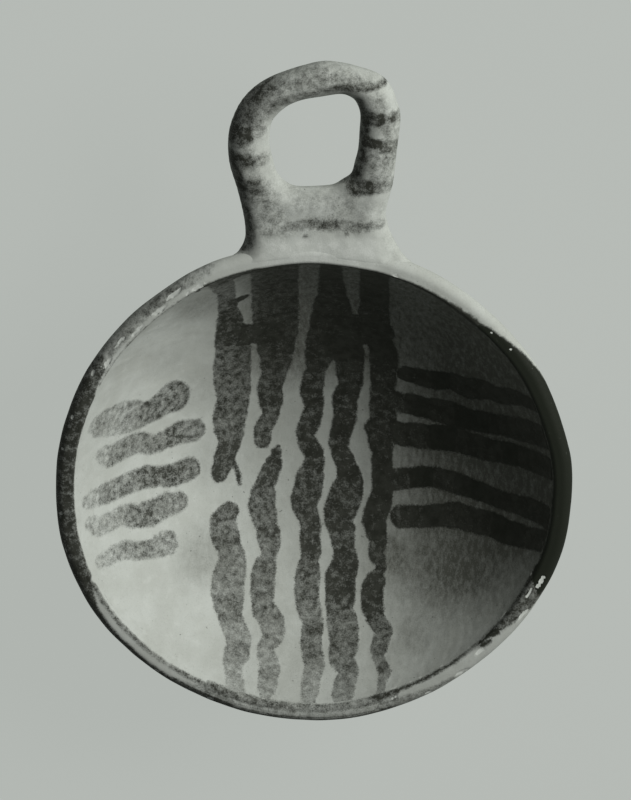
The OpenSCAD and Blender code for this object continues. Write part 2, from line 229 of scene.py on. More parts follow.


# Brush pulls along the lip: from and to in degrees, then at each end how far the middle of the pull lies from the lip's
# inner edge and half its width in mm, and how dark it is. The pulls along the top inner edge are painted shadow under
# the rim, and the near-black right lip is partly painted shade.
LIP_STROKES_AND_SHADE = [(156, 204, 4.2, 4.2, 4.4, 4.3, 0.93), (149, 158, 4.8, 4.4, 3.5, 4.1, 0.80),
               (203, 212, 4.3, 5.6, 4.1, 2.3, 0.98), (211, 236, 5.6, 5.6, 2.2, 1.8, 0.95),
               (235, 262, 5.6, 5.6, 1.8, 1.4, 0.90), (114, 150, 5.2, 5.0, 2.2, 3.4, 0.30),
               (122, 132, 4.6, 4.0, 1.2, 1.0, 0.60), (137, 145, 2.8, 2.6, 0.7, 0.7, 0.55),
               (116, 153, 0.4, 0.3, 0.35, 0.35, 0.50), (206, 236, 0.7, 0.8, 0.7, 0.6, 0.70),
               (236, 262, 0.8, 0.8, 0.7, 0.6, 0.75), (236, 250, 3.6, 3.4, 0.4, 2.8, 0.42),
               (244, 290, 0.7, 0.6, 1.8, 1.4, 0.58), (246, 288, 3.4, 3.4, 0.8, 0.7, 0.26),
               (250, 288, 5.6, 5.4, 1.3, 1.0, 0.85), (286, 304, 3.4, 5.0, 2.0, 1.0, 0.40),
               (284, 307, -0.2, 0.1, 0.8, 0.6, 0.88), (303, 321, 0.0, 0.0, 0.5, 1.2, 0.5),
               # Partly painted shade from here to the pull at 66 to 118 degrees: the near-black right lip, and the
               # shadow under the rim along the top inner edge
               (319, 338, 0.4, 3.4, 1.2, 5.0, 0.80), (336, 385, 4.2, 3.6, 4.8, 4.4, 1.3),
               (24, 45, 3.3, 1.0, 4.2, 1.8, 1.3), (45, 68, 0.0, -1.4, 2.4, 2.2, 1.15),
               (66, 118, -1.6, -1.6, 2.4, 2.4, 1.0),
               (314.2, 316.4, 1.2, 1.7, 0.9, 0.8, 1.2), (316.6, 319.2, 0.4, 1.5, 0.7, 0.9, 1.2)]

COLS = 768
profile = wall_profile()
turn = 2 * np.pi * np.arange(COLS) / COLS
true_wall = np.stack([profile[:, :1] * np.cos(turn), profile[:, :1] * np.sin(turn),
                      np.repeat(profile[:, 1:], COLS, 1)], -1)
wall = hand_shaped(true_wall)
bare, depth = chipped(true_wall)
inward = np.stack([-np.cos(turn), -np.sin(turn), 0 * turn - 0.8], -1)
inward /= np.linalg.norm(inward, axis=1)[:, None]
wall -= -inward * depth[..., None]
under = true_wall[..., 2] < 0.01
wall[..., 2] = np.where(under, 0.05 + 0.05 * rolling(true_wall, 9, 7), wall[..., 2]).clip(0)

# Way along the half section from the lip's inner edge, outward, for every row
steps = np.concatenate([[0], np.cumsum(np.linalg.norm(np.diff(profile, axis=0), axis=1))])
lip_start = np.argmax((profile[:, 1] > LIP_TOP - 1) & (profile[:, 0] < 69.75))
girth = np.repeat((steps[lip_start] - steps)[:, None], COLS, 1)
lip_angle = np.degrees(turn)[None, :] + 0 * girth
lip_paint_and_shade, lip_load = np.full(girth.shape, -9.0), np.zeros(girth.shape)
for start, end, mid_a, mid_b, half_a, half_b, dark in LIP_STROKES_AND_SHADE:
    along = ((lip_angle - start) % 360) / (end - start)
    past = np.maximum(0, np.minimum(along - 1, 360 / (end - start) - along))
    t = np.where(past > 0, np.where(along > 0.5 * (1 + 360 / (end - start)), 0, 1), along)
    inside = half_a + (half_b - half_a) * t - np.abs(girth - mid_a - (mid_b - mid_a) * t)
    inside -= past * (end - start) * np.pi / 180 * RIM_R
    lip_load = np.where((inside > -0.5) & (dark > lip_load), dark, lip_load)
    lip_paint_and_shade = np.maximum(lip_paint_and_shade, inside)
lip_radius = np.hypot(true_wall[..., 0], true_wall[..., 1])
# Painted shade and stains over the body: the lining's painted shade runs on over the lip's inner edge, and darker
# clouds lie on the outside
lip_stain_and_shade = soot_and_painted_shade(wall[..., 0], wall[..., 1]) * smooth(1.5, -1, girth) * (true_wall[..., 2] > 10)
clouds = 0.3 * smooth(0.1, 1.3, rolling(true_wall, 48, 8)) * (true_wall[..., 2] > 1)
lip_stain_and_shade = np.maximum(lip_stain_and_shade, clouds * (girth > 9))
# Painted shade: the top of the rim's right half darkened a little
lip_stain_and_shade = np.maximum(lip_stain_and_shade, 0.13 * smooth(-30, 20, true_wall[..., 0]) * (true_wall[..., 2] > 44))
rub = smooth(0.55, 1.0, 1 - np.abs(lip_radius - BASE_R) / 3.0) * (true_wall[..., 2] < 3)
rub = np.maximum(rub, 0.7 * (lip_radius < BASE_R) * (true_wall[..., 2] < 1))
rub = np.maximum(rub, rubbed(true_wall[..., 0], true_wall[..., 1]) * (girth > 0) * (girth < 9))
south_pole, north_pole = np.array([[0, 0, 0.05]]), np.array([[0, 0, FLOOR_TOP]])
n_rows = len(profile)
last_row = (n_rows - 1) * COLS
body_points = np.concatenate([wall.reshape(-1, 3), south_pole, north_pole])


def with_poles(values, at_south=0.0, at_north=0.0):
    """A grid's values as one row, with the two poles' values at its end."""
    return np.concatenate([np.ravel(values), [at_south, at_north]])


bowl_body = mesh_object(
    "bowl_body", body_points,
    [ring_faces(n_rows, COLS), pole_faces(n_rows * COLS, 0, COLS, False),
     pole_faces(n_rows * COLS + 1, last_row, COLS, True)],
    {"paint": with_poles(lip_paint_and_shade, -9, -9), "cover": with_poles(lip_load), "soft": with_poles(0 * bare + 0.3),
     "stain_and_shade": with_poles(lip_stain_and_shade), "bare": with_poles(np.maximum(bare, rub), 0.7, 0)})


class Nodes:
    """Builds a node tree: each call adds one node, sets its inputs by name or number, and
    gives back its first output."""

    def __init__(self, tree):
        self.tree = tree

    def add(self, kind, inputs=(), out=0, **settings):
        node = self.tree.nodes.new(kind)
        for key, value in settings.items():
            setattr(node, key, value)
        for key, value in dict(inputs).items():
            if isinstance(value, bpy.types.NodeSocket):
                self.tree.links.new(value, node.inputs[key])
            else:
                node.inputs[key].default_value = value
        return node.outputs[out]

    def math(self, operation, a, b=0.0, c=0.0, clamp=False):
        return self.add("ShaderNodeMath", {0: a, 1: b, 2: c}, operation=operation, use_clamp=clamp)

    def step(self, value, low, high, to_low=0.0, to_high=1.0):
        return self.add("ShaderNodeMapRange", {"Value": value, "From Min": low, "From Max": high,
                                               "To Min": to_low, "To Max": to_high},
                        interpolation_type="SMOOTHSTEP")

    def noise(self, vector, per_mm, detail=2.0, rough=0.5, out="Factor"):
        return self.add("ShaderNodeTexNoise", {"Vector": vector, "Scale": per_mm * 1000, "Detail": detail,
                                               "Roughness": rough}, out=0)

    def mix(self, factor, a, b, blend="MIX"):
        return self.add("ShaderNodeMix", {0: factor, 6: a, 7: b}, out=2, data_type="RGBA", blend_type=blend)

    def attribute(self, name):
        return self.add("ShaderNodeAttribute", out=2, attribute_name=name)


SLIP_PALE = (0.455, 0.480, 0.452, 1)
SLIP_DEEP = (0.395, 0.415, 0.385, 1)
CLAY_BARE = (0.47, 0.495, 0.465, 1)
PAINT_DENSE = (0.0205, 0.0217, 0.0168, 1)
PAINT_THIN = (0.038, 0.040, 0.033, 1)
# Paint blacker than its own colour, where cover is above 1.12, mostly on the right lip: partly painted shade
PAINT_BLACKEST_AND_SHADE = (0.008, 0.010, 0.006, 1)
# Dark tone for grain in the slip and for painted shade
STAIN_AND_SHADE_DARK = (0.099, 0.103, 0.088, 1)


def slipped_ware(name):
    """The finish of the whole pot. Slip varies in patches, specks and wipe marks; paint lies where the attribute
    `paint` (mm inside a stroke's edge) is above a ragged edge, and hides as much of the slip as `cover` says, in
    blotches and grains, where a cover above 1.12 makes it blacker than the paint as painted shade; the
    stains-and-painted-shade attribute darkens the slip in streaks, and `bare` shows the clay."""
    material = bpy.data.materials.new(name)
    material.use_nodes = True
    tree = material.node_tree
    tree.nodes.clear()
    n = Nodes(tree)
    place = n.add("ShaderNodeTexCoord", out="Object")
    paint, cover = n.attribute("paint"), n.attribute("cover")
    stain_and_shade, bare, soft = n.attribute("stain_and_shade"), n.attribute("bare"), n.attribute("soft")
    patches = n.noise(place, 0.075, 4, 0.6)
    mottle = n.noise(place, 0.32, 4, 0.6)
    grain = n.noise(place, 2.4, 2, 0.6)
    wiped = n.noise(n.add("ShaderNodeMapping", {"Vector": place, "Scale": (1, 0.42, 0.6)}), 0.8, 3, 0.6)
    specks = n.noise(place, 0.9, 1, 0.5)

    tone = n.step(patches, 0.3, 0.7)
    slip = n.mix(tone, SLIP_DEEP, SLIP_PALE)
    slip = n.mix(n.math("MULTIPLY", n.step(mottle, 0.5, 0.7), 0.5), slip, SLIP_DEEP)
    slip = n.mix(n.math("MULTIPLY", n.step(mottle, 0.46, 0.3), 0.25), slip, (0.53, 0.555, 0.525, 1))
    slip = n.mix(n.math("MULTIPLY", n.step(grain, 0.52, 0.75), 0.14), slip, STAIN_AND_SHADE_DARK)
    slip = n.mix(n.math("MULTIPLY", n.step(specks, 0.76, 0.79), 0.55), slip, PAINT_THIN)
    streak_pattern = n.math("MULTIPLY_ADD", wiped, 1.3, n.math("MULTIPLY_ADD", grain, 0.8, -0.05))
    stain_and_shade_streaks = n.math("MULTIPLY", stain_and_shade, streak_pattern, clamp=True)
    # Painted shade and stains: the slip darkened in streaks where the attribute says
    slip = n.mix(stain_and_shade_streaks, slip, STAIN_AND_SHADE_DARK)

    edge = n.math("MULTIPLY_ADD", mottle, 1.6, n.math("MULTIPLY_ADD", grain, 1.0, -1.3))
    feather = n.math("MULTIPLY_ADD", soft, 0.9, 0.32)
    inside = n.add("ShaderNodeMapRange", {"Value": n.math("ADD", paint, edge), "From Min": n.math("MULTIPLY", feather, -1.0),
                                          "From Max": feather}, interpolation_type="SMOOTHSTEP")
    blotches = n.noise(place, 0.55, 3, 0.6)
    uneven = n.math("MULTIPLY_ADD", blotches, 1.15, n.math("MULTIPLY_ADD", grain, 0.75, -0.92))
    uneven = n.math("MULTIPLY", uneven, n.math("MULTIPLY_ADD", soft, 0.9, 1.0))
    uneven = n.math("MULTIPLY", uneven, n.step(cover, 0.0, 0.3, 0.1, 1.0))
    covered = n.math("MULTIPLY", inside, n.math("ADD", cover, uneven, clamp=True))
    pigment = n.mix(n.step(mottle, 0.35, 0.65), PAINT_DENSE, PAINT_THIN)
    # A cover above 1.12 makes the paint blacker still, as painted shade
    pigment = n.mix(n.step(cover, 1.12, 1.28), pigment, PAINT_BLACKEST_AND_SHADE)
    colour = n.mix(covered, slip, pigment)
    clay = n.mix(n.step(mottle, 0.35, 0.65), CLAY_BARE, (0.56, 0.585, 0.555, 1))
    exposed = n.step(n.math("MULTIPLY_ADD", grain, 0.3, bare), 0.45, 0.75)
    colour = n.mix(exposed, colour, clay)

    relief = n.math("MULTIPLY_ADD", grain, 0.5, n.math("MULTIPLY_ADD", mottle, 0.6,
                    n.math("MULTIPLY_ADD", covered, 0.35, n.math("MULTIPLY", wiped, 0.5))))
    bump = n.add("ShaderNodeBump", {"Height": relief, "Strength": 0.35, "Distance": 0.0002})
    rough = n.math("MULTIPLY_ADD", covered, -0.16, n.step(grain, 0.3, 0.7, 0.8, 0.92))
    shader = n.add("ShaderNodeBsdfPrincipled", {"Base Color": colour, "Roughness": rough, "Normal": bump,
                                                "Specular IOR Level": 0.16})
    output = tree.nodes.new("ShaderNodeOutputMaterial")
    tree.links.new(shader, output.inputs["Surface"])
    return material


ware = slipped_ware("slipped_ware")
bowl_body.data.materials.append(ware)
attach(bowl_body, "root")
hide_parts("base_pat", "bowl_wall", "rim_coil", "rim_stroke")


# ---- Slip lining and the painted strokes --------------------------------------------
# The inside was coated with pale slip and painted with a loaded brush: five strokes from
# the handle downward, and five across each side, each a row of overlapping dabs.
SLIP_T, SLIP_GAP = 0.4, 0.06
SLIP_EDGE_Z = 49.4

# Joints of each stroke: (x, y, half width) in mm on the wall
MIDDLE_STROKES = {
    "first_upper": [(-27, 63.5, 3.6), (-25.6, 56, 2.8), (-25.2, 50, 2.8), (-25, 44, 3.1), (-24.6, 38, 4.3), (-23.8, 31, 5.6),
                    (-23.8, 26, 5.8), (-24.1, 19, 5.7), (-23.5, 12, 5.1), (-25, 5.5, 5.3), (-25, 0.7, 4.3),
                    (-24.1, -2.6, 3), (-25.6, -5.5, 3.5), (-26.8, -9.5, 3.2), (-28.2, -14, 1.2)],
    "bridge_top": [(-27, 62, 3), (-21.5, 65.6, 2.2), (-16, 66.8, 3)],
    "bridge_left": [(-23, 35, 4.6), (-18.5, 34.4, 4.4), (-13, 34, 4.8)],
    "bridge_right": [(7, 36, 6), (13, 35.5, 7), (18, 36, 6.4)],
    "tick": [(-23.7, 48.9, 1.1), (-22.1, 49.9, 1.5), (-19.6, 51.3, 1.1)],
    "first_tail": [(-24.4, -8.5, 1.2), (-22.6, -12, 0.9), (-21.8, -16.5, 0.6)],
    "first_lower": [(-23.8, -23, 0.9), (-26.8, -26, 3.6), (-26.5, -29.5, 4.4), (-24.7, -33.5, 3.9),
                    (-23.8, -38, 4.2), (-25.3, -42.5, 5.1), (-25.6, -45, 5), (-25, -49, 3.8),
                    (-23.8, -52.3, 4), (-21.8, -56.3, 3.8), (-22.7, -59, 3.8), (-23.8, -60.5, 3),
                    (-23, -63, 2.6), (-22.7, -66.4, 2.9)],
    "second_upper": [(-11.3, 72, 7), (-11.3, 42, 7), (-11, 31, 5.8), (-11, 25.7, 5), (-11.3, 20, 3.9),
                     (-13, 13, 3.9), (-12.4, 6.8, 2.8), (-13, 3.6, 2.8), (-15.1, -0.1, 2.6), (-15.1, -3.6, 2.7)],
    "second_lower": [(-10.4, -6, 0.6), (-11.3, -9.6, 1.8), (-12.7, -13.7, 2.9), (-14.8, -18.2, 3),
                     (-15.4, -23.6, 4.2), (-13.9, -28.9, 2.8), (-13.3, -32, 3.5), (-12.7, -35.3, 2.4),
                     (-13.6, -37.8, 2), (-15.1, -42.3, 3.6), (-15.1, -49.7, 3.2), (-12.4, -52.8, 3.9),
                     (-11.5, -56.2, 2.9), (-14.5, -58.5, 2.2), (-12.7, -62.5, 3.1), (-13.3, -65, 3),
                     (-14.2, -67.5, 1.5)],
    "third": [(5.1, 67.5, 3.2), (5.3, 57, 3.6), (5.6, 49, 4.3), (5.6, 42, 5.8), (4.2, 34, 5.6), (2.4, 28, 4.6), (1.4, 23, 3.6), (0.7, 19.4, 2.8),
              (-0.7, 12.4, 3.4), (0.4, 6.4, 2.5), (-1, 1.5, 3.2), (-2.8, -3.2, 2.2), (-0.4, -7.3, 3),
              (0.7, -9.7, 2.4), (-0.4, -13.6, 3.5), (-1.6, -18.8, 4.3), (-3.1, -23.3, 3.5), (-1, -28, 3.1),
              (-1, -33, 3.1), (-0.7, -36.3, 3), (-1.3, -38.6, 2.2), (-1.9, -43.8, 3.7), (-1.9, -48.6, 3.7),
              (-0.1, -53.3, 3.1), (-0.7, -58.5, 3.1), (0.4, -62.8, 3), (-0.7, -65.5, 2.8), (-1.3, -68.4, 2.2),
              (-1.3, -71.5, 1.5)],
    "fourth": [(6, 39, 5.1), (7.7, 32.4, 5.6), (11, 23.8, 4.4), (10.7, 19, 4.2), (11.3, 14.2, 2.9),
               (9.2, 9.6, 3.8), (9.5, 3.4, 3.4), (7.7, -3.4, 3.1), (7.5, -6.8, 2.5), (10.1, -12.4, 3.1),
               (11, -17, 3.9), (8.9, -22.6, 5), (6.9, -27.4, 3.8), (8.6, -30.5, 3.9), (8.9, -35.3, 3.2),
               (9.8, -39, 3.6), (8, -42.7, 4.5), (8, -47, 4.5), (7.7, -50.8, 3.8), (8.9, -54.8, 4.5),
               (9.2, -58, 4.3), (8, -61.2, 3.5), (10.7, -63.5, 2.9), (8.9, -66.2, 3.3), (8.3, -69, 2.7),
               (8.3, -72, 2)],
    "fifth": [(17.7, 68, 4.3), (18, 57, 4.5), (18, 46, 4.6), (17.8, 38, 5), (19.2, 32.4, 4.3), (20.9, 26.8, 4.5),
              (20.9, 21.6, 4.2), (20.6, 15, 3.7), (20.6, 9.6, 4.2), (20.6, 3.7, 4.2), (19.7, -1.5, 4.1),
              (20.3, -6.4, 3.1), (20.3, -12.5, 3.2), (20.3, -19, 3.2), (19.2, -23.2, 3.8), (17.7, -27, 3.5),
              (19.4, -32.4, 2.6), (18.6, -36, 2.4), (20, -39, 1.8), (19.2, -41.6, 1.8), (17.4, -44.7, 3.4),
              (17.4, -48.8, 3.5), (18, -51.5, 2.8), (21.2, -54.7, 2.5), (19.7, -57.4, 2.8), (19.2, -59.7, 2.1),
              (19.7, -61.2, 1.6), (21.2, -62.8, 1.8), (20, -64.8, 1.3), (19.2, -68, 1.3), (18.9, -71.5, 1.2)]}
RIGHT_STROKES = {
    "right_first": [(26.5, 20, 2.3), (29.4, 20.2, 3.1), (35.2, 19.7, 3.5), (40.5, 21.3, 3), (45.2, 20, 4.1),
                    (50.7, 22, 3.6), (54.5, 21.4, 3.2), (60.4, 24.5, 2.8), (66.2, 24.9, 2), (70.5, 21.5, 1.2)],
    "right_second": [(20.6, 10, 3.8), (26.8, 9.9, 3.5), (34.1, 9.3, 3.9), (41.4, 9.4, 4.3), (45.8, 9, 3.6), (50.1, 9.6, 3.7),
                     (54.5, 10.6, 3.6), (59.2, 11.8, 3.8), (63.9, 13.6, 4.2), (68.6, 14.8, 3.8)],
    "right_third": [(18.9, 0.3, 3.9), (26.8, -0.6, 3.9), (34.1, 0.1, 4.1), (42.3, 1.3, 4.3), (46.3, 0.8, 4), (50.7, 0.9, 3.8),
                    (55.4, 1.9, 3.6), (60.4, 3.2, 3.7), (65.6, 4, 3.8), (69.7, 4.6, 3.4)],
    "right_fourth": [(21.2, -15.3, 3.3), (28.2, -13.8, 3.3), (35.5, -12.1, 3.3), (41.4, -12.3, 3.5),
                     (46.3, -12.6, 3.2), (50.7, -12.9, 2.9), (55.1, -13, 2.9), (60.4, -12.1, 3),
                     (66.2, -11, 3.6), (72.1, -12.1, 2.8)],
    "right_fifth": [(25.8, -25.2, 3.5), (32.6, -24.1, 3.4), (38.5, -22.6, 3.5), (42.3, -21.4, 4.1),
                    (47.2, -21.7, 3.6), (52.2, -20.8, 3.9), (56.9, -21.2, 3.8), (61.8, -20.1, 3.4),
                    (67.7, -18, 3.4), (72.1, -19.7, 2.8)]}
LEFT_STROKES = {
    "left_first": [(-39.8, 14, 3.2), (-41.9, 16, 5.4), (-44.9, 14.2, 4.8), (-48.1, 12.4, 4.1), (-51.9, 12.4, 4.7),
                   (-56.3, 14.3, 5.6), (-60.7, 15.3, 4.8), (-64, 16.5, 3)],
    "left_second": [(-35.2, 2.3, 3.6), (-39, 2.9, 3.8), (-43.4, 1.8, 3.3), (-47.2, 0.8, 2.8), (-51.3, 3.4, 3.3),
                    (-55.4, 3.3, 3.6), (-59.8, 2.7, 3.5), (-63, 5, 1.8)],
    "left_third": [(-36.7, -9.5, 3.7), (-40.5, -10.1, 3.6), (-45.5, -9.6, 2.6), (-49.9, -8.2, 3.5),
                   (-53.7, -8.3, 3.4), (-58.3, -8.4, 3.3), (-63, -8.1, 2.9), (-66.5, -7.6, 1.8)],
    "left_fourth": [(-39.6, -18.4, 3), (-43.7, -18.3, 3.6), (-47.8, -19.3, 4), (-51.3, -19.2, 3.5),
                    (-56, -16.8, 2.8), (-58.9, -17, 2.9), (-62.4, -17, 3), (-65.1, -14.6, 2)],
    "left_fifth": [(-42.8, -28.8, 3.6), (-47.2, -29.1, 2.6), (-51.3, -28.3, 2.7), (-55.4, -26.4, 2.6),
                   (-58.6, -26.3, 2.3), (-61.6, -26.4, 2)]}


def wall_height(x, y):
    """Height of the true inner wall over a point of the mouth: the lower half of a sphere."""
    return IN_Z - np.sqrt(np.maximum(IN_R ** 2 - x * x - y * y, 0))


def quarter(x):
    """Rises from 0 at x = 0 to 1 at x = 1 along a quarter of a circle."""
    return np.sqrt(1 - (1 - np.clip(x, 0, 1)) ** 2)


def dabs(points, joints, dense):
    """How far each point lies inside a stroke, in mm, and far below zero well outside it,
    with how much the paint covers there. The stroke is the union of round-ended bars laid
    along the wall in steps of 2 mm at most; between two joints it swells from the narrow
    one to the wide one along a quarter of a circle, as a pressed brush does. The last dab
    of the brush covers a little more or less than the one before."""
    best, cover = np.full(len(points), -99.0), np.zeros(len(points))
    for number, ((x0, y0, r0), (x1, y1, r1)) in enumerate(zip(joints[:-1], joints[1:])):
        t = np.linspace(0, 1, int(np.hypot(x1 - x0, y1 - y0) // 2) + 2)
        width = r0 + (r1 - r0) * (quarter(t) if r1 > r0 else 1 - quarter(1 - t))
        along_x, along_y = x0 + (x1 - x0) * t, y0 + (y1 - y0) * t
        change = 0.1 * np.sin(2.4 * number + x0 + 0.3 * y0)
        for xa, ya, ra, xb, yb, rb in zip(along_x, along_y, width, along_x[1:], along_y[1:], width[1:]):
            near = np.flatnonzero(np.hypot(points[:, 0] - xa, points[:, 1] - ya) < max(ra, rb) + 6)
            start = np.array([xa, ya, wall_height(xa, ya)])
            step = np.array([xb, yb, wall_height(xb, yb)]) - start
            off = points[near] - start
            t = np.clip(off @ step / (step @ step), 0, 1)
            inside = ra + (rb - ra) * t - np.linalg.norm(off - t[:, None] * step, axis=1)
            cover[near] = np.where(inside > best[near], np.broadcast_to(dense + change, cover.shape)[near], cover[near])
            best[near] = np.maximum(best[near], inside)
    return best, cover


GRID = 290
side = np.linspace(-1, 1, GRID)
u, v = np.meshgrid(side, side, indexing="ij")
EDGE_R = np.sqrt(IN_R ** 2 - (IN_Z - SLIP_EDGE_Z) ** 2)
flat_x = EDGE_R * u * np.sqrt(1 - v * v / 2)
flat_y = EDGE_R * v * np.sqrt(1 - u * u / 2)
true_face = np.stack([flat_x, flat_y, wall_height(flat_x, flat_y)], -1).reshape(-1, 3)

# How much the paint covers at the top and at the foot of each stroke
MIDDLE_COVER = {"first": (0.86, 0.60), "second": (0.92, 0.64), "third": (1.03, 0.76), "fourth": (1.05, 0.84),
                "fifth": (1.05, 0.90), "bridge": (1.00, 1.00), "tick": (1.15, 1.15)}
LEFT_COVER = {"left_first": 0.60, "left_second": 0.63, "left_third": 0.80, "left_fourth": 0.66, "left_fifth": 0.55}
face_x, face_y = true_face[:, 0], true_face[:, 1]
laid = []
for key, stroke in MIDDLE_STROKES.items():
    high, low = MIDDLE_COVER[key.split("_")[0]]
    covering = low + (high - low) * smooth(-70, 10, face_y)
    thin = 0.4 * smooth(-46, -70, face_y) + 0.16 * smooth(38, 50, face_y) * smooth(-14, -19, face_x)
    laid.append(dabs(true_face, stroke, covering * (1 - thin)))
for stroke in RIGHT_STROKES.values():
    laid.append(dabs(true_face, stroke, 1.1 - 0.14 * smooth(32, 20, face_x)))
for key, stroke in LEFT_STROKES.items():
    laid.append(dabs(true_face, stroke, LEFT_COVER[key] * (1 - 0.55 * smooth(-48, -66, face_x))))
paint, cover = laid[0]
for inside, covering in laid[1:]:
    cover = np.where(inside > -0.4, np.maximum(cover * (paint > -0.4), covering), np.where(inside > paint, covering, cover))
    paint = np.maximum(paint, inside)

# The brush ran dry in the strokes on the left, so their edges are softer
soft = 0.1 + 0.3 * smooth(-28, -40, face_x)
# Painted shade, with some sooty stains, over the lining: darkest on the right and under the handle
stain_and_shade = soot_and_painted_shade(face_x, face_y)

middle = np.array([0, 0, IN_Z])
outward = true_face - middle
outward /= np.linalg.norm(outward, axis=1)[:, None]
edge_fade = smooth(0, 5, EDGE_R - np.hypot(true_face[:, 0], true_face[:, 1]))
ragged = 0.5 + 0.5 * rolling(true_face, 2.2, 21)
thick = (SLIP_T + SLIP_GAP) * (edge_fade * 1.1 - 0.1 * ragged * (1 - edge_fade)) + 0.03 * rolling(true_face, 3.5, 22)
thick += 0.05 * smooth(-0.3, 0.5, paint)
top_face = hand_shaped(true_face) - outward * thick[:, None]

# Underside: coarse rings just inside the clay, joined to the grid's own outer edge
grid_index = np.arange(GRID * GRID).reshape(GRID, GRID)
border = np.concatenate([grid_index[0, :-1], grid_index[:-1, -1], grid_index[-1, :0:-1], grid_index[:0:-1, 0]])
shrink = np.linspace(1, 0, 12)[:-1]
rings = true_face[border][None, :, :] * np.array([1, 1, 0]) * shrink[:, None, None]
rings[..., 2] = wall_height(rings[..., 0], rings[..., 1])
lower = hand_shaped(rings)
down = rings - middle
lower += down / np.linalg.norm(down, axis=-1)[..., None] * 0.25
lining_points = np.concatenate([top_face, lower.reshape(-1, 3), [[0, 0, FLOOR_TOP - 0.25]]])
m = len(border)
top_quads = np.stack([grid_index[:-1, :-1], grid_index[1:, :-1], grid_index[1:, 1:], grid_index[:-1, 1:]], -1).reshape(-1, 4)
nxt = (np.arange(m) + 1) % m
seam = np.stack([border, border[nxt], len(top_face) + nxt, len(top_face) + np.arange(m)], -1)
under_quads = ring_faces(len(shrink), m, len(top_face))
tip = pole_faces(len(lining_points) - 1, len(top_face) + (len(shrink) - 1) * m, m, True)
extra = len(lining_points) - len(top_face)
slip_lining = mesh_object(
    "painted_lining", lining_points, [top_quads, seam, under_quads, tip],
    {"paint": np.concatenate([paint, np.full(extra, -5)]), "cover": np.concatenate([cover, np.zeros(extra)]),
     "soft": np.concatenate([soft, np.zeros(extra)]), "stain_and_shade": np.concatenate([stain_and_shade, np.zeros(extra)]), "bare": np.zeros(len(lining_points))})
slip_lining.data.materials.append(ware)
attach(slip_lining, "root")
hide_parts("slip_lining", *[f"middle_stroke_{i}" for i in range(1, 6)],
            *[f"left_stroke_{i}" for i in range(1, 6)], *[f"right_stroke_{i}" for i in range(1, 6)])


# ---- Loop handle: stem wad, clay web and bent coil ----------------------------------
# A coil of clay bent round a finger and set with both ends on a flattened wad, with clay
# pressed in between them, and the root smeared out over the rim and down the wall.
HANDLE_Z, COIL_HALF, WEB_HALF, EDGE_ROUND = 44.9, 5.5, 4.7, 5.9
ROOT_DROP, ROOT_REACH = 6.3, 16.0
BURIED_Z, BURIED_R, BURIED_ROUND = 40.0, 67.6, 3.4

# Stations round the outer edge: x, y, and the direction in which the hole's edge answers
OUTLINE = np.array([
    [22.4, 123.9, 38], [19.4, 127.2, 48], [13.6, 129.6, 60], [7.7, 131.0, 73], [1.3, 131.1, 88],
    [-8.6, 128.1, 110], [-15.6, 124.6, 130], [-20.5, 119.7, 148], [-23.5, 113.6, 164], [-24.8, 107.4, 180],
    [-24.4, 99.8, 195], [-22.1, 91.5, 212], [-20.3, 83.2, 226], [-19.8, 77.6, 236], [-20.4, 74.7, 242],
    [-22.0, 72.5, 246], [-24.7, 70.9, 250], [-28.0, 69.3, 254], [-29.0, 67.0, 257], [-26.0, 65.4, 260],
    [-14.0, 67.2, 268], [0, 68.6, 271], [14.0, 67.2, 278], [26.2, 65.2, 284], [30.0, 66.2, 287],
    [29.6, 68.4, 290], [26.0, 72.0, 295], [23.2, 76.2, 302], [21.6, 80.8, 310], [21.2, 85.2, 318],
    [23.2, 94.0, 336], [24.4, 104.9, 355], [25.3, 114.1, 373], [24.1, 119.5, 387]])


def closed_curve(stations, n):
    """n points evenly spaced along the smooth closed curve through the stations: between
    two stations a cubic whose slopes follow the neighbours on both sides."""
    turned = stations.copy()
    count = len(stations)
    turned[:, 2] -= 360.0 * np.arange(count) / count

    def at(t):
        i = np.floor(t).astype(int)
        f = (t - i)[:, None]
        a, b, c, d = (turned[(i + k) % count] for k in (-1, 0, 1, 2))
        p = 0.5 * (2 * b + (c - a) * f + (2 * a - 5 * b + 4 * c - d) * f ** 2 + (3 * b - a - 3 * c + d) * f ** 3)
        p[:, 2] += 360.0 * t / count
        return p

    fine = np.linspace(0, count, 8001)
    run = np.concatenate([[0], np.cumsum(np.linalg.norm(np.diff(at(fine)[:, :2], axis=0), axis=1))])
    return at(np.interp(np.arange(n) / n * run[-1], run, fine) % count)


# Stations round the finger hole, counter-clockwise: x and y
HOLE = np.array([
    [13.4, 109.9], [13.6, 115.4], [12.4, 119.1], [10.6, 120.9], [7.6, 121.7], [2.5, 121.0], [-2.5, 120.2], [-6.9, 118.4],
    [-10.7, 115.0], [-12.4, 111.7], [-12.7, 105.8], [-11.8, 100.9], [-10.7, 96.9], [-8.0, 93.6], [-4.8, 92.2],
    [0.4, 92.2], [5.4, 92.7], [8.3, 94.3], [11.0, 96.4], [12.1, 100.3], [13.0, 104.2]])
HOLE_MIDDLE = np.array([0.4, 107.2])
hole_line = closed_curve(np.column_stack([HOLE, np.zeros(len(HOLE))]), 1440)[:, :2]
hole_spoke = hole_line - HOLE_MIDDLE
hole_way = np.degrees(np.arctan2(hole_spoke[:, 1], hole_spoke[:, 0]))


def hole_edge(degrees):
    """Points on the edge of the finger hole in the given directions from its middle."""
    far = np.interp(degrees, hole_way, np.hypot(hole_spoke[:, 0], hole_spoke[:, 1]), period=360)
    a = np.radians(degrees)
    return HOLE_MIDDLE + np.stack([far * np.cos(a), far * np.sin(a)], -1)


def nearest(points, line):
    """Distance from each point to the nearest point of a closed line."""
    best = np.full(len(points), 1e9)
    for part in np.array_split(line, 12):
        gap = np.linalg.norm(points[:, None, :] - part[None, :, :], axis=2).min(1)
        best = np.minimum(best, gap)
    return best


